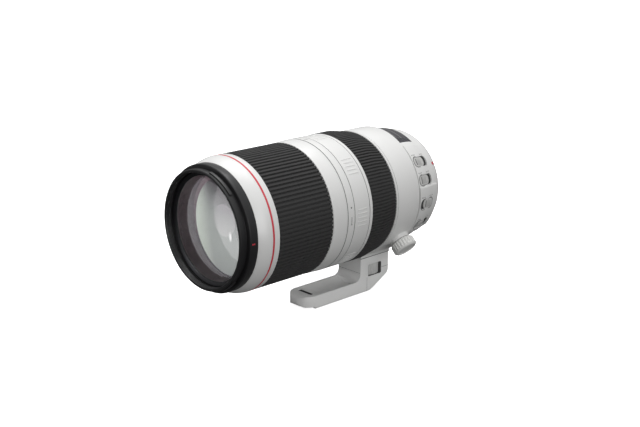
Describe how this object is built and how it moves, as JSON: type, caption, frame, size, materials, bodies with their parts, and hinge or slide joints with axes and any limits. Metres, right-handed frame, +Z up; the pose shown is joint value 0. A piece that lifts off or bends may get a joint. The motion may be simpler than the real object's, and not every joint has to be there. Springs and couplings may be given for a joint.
{
  "type": "telephoto zoom lens",
  "caption": "White telephoto zoom lens for an interchangeable-lens camera, with turning zoom, tension and focus rings, a turning tripod collar and a foot.",
  "frame": {"origin": "centre of the rear mount face, on the optical axis", "axes": "+Y runs back into the camera body, so the front of the lens lies towards -Y; +Z is up, with the tripod foot towards -Z and the switch panel on +X"},
  "size_m": [0.0948, 0.2, 0.1229],
  "materials": {
    "white_paint": "satin warm white stoved enamel",
    "black_anodised": "satin black anodised",
    "white_tube": "satin white enamel on a thin tube",
    "black_plastic": "fine matt",
    "grip_rubber": "moulded ribs, matt",
    "red_line": "satin crimson",
    "coated_glass": "polished, magenta and green coating",
    "smoked_window": "smoked clear plastic",
    "grey_switch": "satin grey",
    "bright_steel": "turned and plated",
    "bare_aluminium": "machined",
    "brass": "machined",
    "gold_contact": "gold plated",
    "circuit_board": "solder mask",
    "seal_rubber": "soft matt"
  },
  "bodies": {
    "barrel": {"main_barrel": "bare_aluminium", "index_band": "white_paint", "guide_tube": "bare_aluminium", "rear_barrel": "white_paint", "distance_window": "smoked_window", "switch_panel": "white_paint", "mount_dot": "red_line", "bayonet_ring": "bright_steel", "mount_screws": "bright_steel", "rear_frame": "bare_aluminium", "weather_seal": "seal_rubber", "rear_baffle": "black_plastic", "contact_block": "black_plastic", "contact_pins": "gold_contact", "circuit_board": "circuit_board", "motor_stator": "brass", "inner_tube": "bare_aluminium", "iris_housing": "black_plastic", "iris_ring": "black_plastic", "iris_blades": "black_plastic", "stabiliser_housing": "bare_aluminium", "rear_cell": "black_anodised", "rear_glass": "coated_glass"},
    "front_group": {"extension_tube": "white_tube", "cam_followers": "bright_steel", "front_band": "white_paint", "red_ring": "red_line", "filter_ring": "black_plastic", "front_cell": "black_plastic", "retaining_ring": "black_anodised", "front_element": "coated_glass", "second_element": "coated_glass"},
    "zoom_ring": {"zoom_sleeve": "white_paint", "zoom_grip": "grip_rubber", "cam_tube": "bare_aluminium"},
    "tension_ring": {"tension_ring": "white_paint"},
    "focus_ring": {"focus_sleeve": "white_paint", "focus_grip": "grip_rubber"},
    "focus_drive": {"motor_rotor": "bare_aluminium", "distance_scale": "black_plastic"},
    "variator_group": {"variator_cell": "black_plastic", "variator_glass": "coated_glass"},
    "focus_group": {"focus_cell": "black_anodised", "focus_glass": "coated_glass"},
    "collar": {"collar_ring": "white_paint"},
    "collar_knob": {"collar_knob": "white_paint", "knob_screw": "bright_steel"},
    "foot": {"tripod_foot": "white_paint", "tripod_bush": "brass"},
    "foot_wheel": {"foot_wheel": "white_paint", "foot_screw": "bright_steel"},
    "focus_mode_switch": {"focus_mode_switch": "grey_switch"},
    "focus_range_switch": {"focus_range_switch": "grey_switch"},
    "stabiliser_switch": {"stabiliser_switch": "grey_switch"},
    "stabiliser_mode_switch": {"stabiliser_mode_switch": "grey_switch"},
    "stabiliser_frame": {"stabiliser_frame": "bare_aluminium"},
    "stabiliser_cell": {"stabiliser_cell": "black_plastic", "stabiliser_glass": "coated_glass"}
  },
  "joints": [
    {"name": "zoom_turn", "type": "hinge", "parent": "barrel", "child": "zoom_ring", "pos_m": [0, 0, 0], "axis": [0, 1, 0], "range_deg": [0, 90]},
    {"name": "zoom_extend", "type": "slide", "parent": "barrel", "child": "front_group", "axis": [0, -1, 0], "range_m": [0, 0.0831]},
    {"name": "variator_slide", "type": "slide", "parent": "barrel", "child": "variator_group", "axis": [0, -1, 0], "range_m": [0, 0.0201]},
    {"name": "tension_turn", "type": "hinge", "parent": "barrel", "child": "tension_ring", "pos_m": [0, 0, 0], "axis": [0, 1, 0], "range_deg": [0, 60]},
    {"name": "focus_turn", "type": "hinge", "parent": "barrel", "child": "focus_ring", "pos_m": [0, 0, 0], "axis": [0, 1, 0], "range_deg": [0, 150]},
    {"name": "focus_drive_turn", "type": "hinge", "parent": "barrel", "child": "focus_drive", "pos_m": [0, 0, 0], "axis": [0, 1, 0], "range_deg": [0, 75.1]},
    {"name": "focus_slide", "type": "slide", "parent": "barrel", "child": "focus_group", "axis": [0, 1, 0], "range_m": [0, 0.0141]},
    {"name": "collar_turn", "type": "hinge", "parent": "barrel", "child": "collar", "pos_m": [0, 0, 0], "axis": [0, 1, 0], "continuous": true},
    {"name": "collar_knob_turn", "type": "hinge", "parent": "collar", "child": "collar_knob", "pos_m": [0.03657, -0.0385, -0.0341], "axis": [0.7314, 0, -0.682], "range_deg": [0, 270]},
    {"name": "foot_drop", "type": "slide", "parent": "collar", "child": "foot", "axis": [0, 0, -1], "range_m": [0, 0.012]},
    {"name": "foot_wheel_turn", "type": "hinge", "parent": "foot", "child": "foot_wheel", "pos_m": [0, -0.041, -0.059], "axis": [0, 0, 1], "continuous": true},
    {"name": "focus_mode_slide", "type": "slide", "parent": "barrel", "child": "focus_mode_switch", "axis": [-0.0795, 0.9954, -0.0536], "range_m": [0, 0.003]},
    {"name": "focus_range_slide", "type": "slide", "parent": "barrel", "child": "focus_range_switch", "axis": [-0.0924, 0.9954, -0.0256], "range_m": [0, 0.003]},
    {"name": "stabiliser_slide", "type": "slide", "parent": "barrel", "child": "stabiliser_switch", "axis": [-0.0949, 0.9954, 0.0133], "range_m": [-0.003, 0]},
    {"name": "stabiliser_mode_slide", "type": "slide", "parent": "barrel", "child": "stabiliser_mode_switch", "axis": [-0.0822, 0.9954, 0.0494], "range_m": [0, 0.003]},
    {"name": "stabiliser_sideways", "type": "slide", "parent": "barrel", "child": "stabiliser_frame", "axis": [1, 0, 0], "range_m": [-0.001, 0.001], "stiffness_N_per_m": 1500},
    {"name": "stabiliser_upright", "type": "slide", "parent": "stabiliser_frame", "child": "stabiliser_cell", "axis": [0, 0, 1], "range_m": [-0.001, 0.001], "stiffness_N_per_m": 1500}
  ],
  "couplings": [
    {"joint": "zoom_extend", "follows": "zoom_turn", "m_per_rad": 0.052839},
    {"joint": "variator_slide", "follows": "zoom_turn", "m_per_rad": 0.012732},
    {"joint": "focus_drive_turn", "follows": "focus_turn", "ratio": 0.5},
    {"joint": "focus_slide", "follows": "focus_turn", "m_per_rad": 0.0053476}
  ]
}
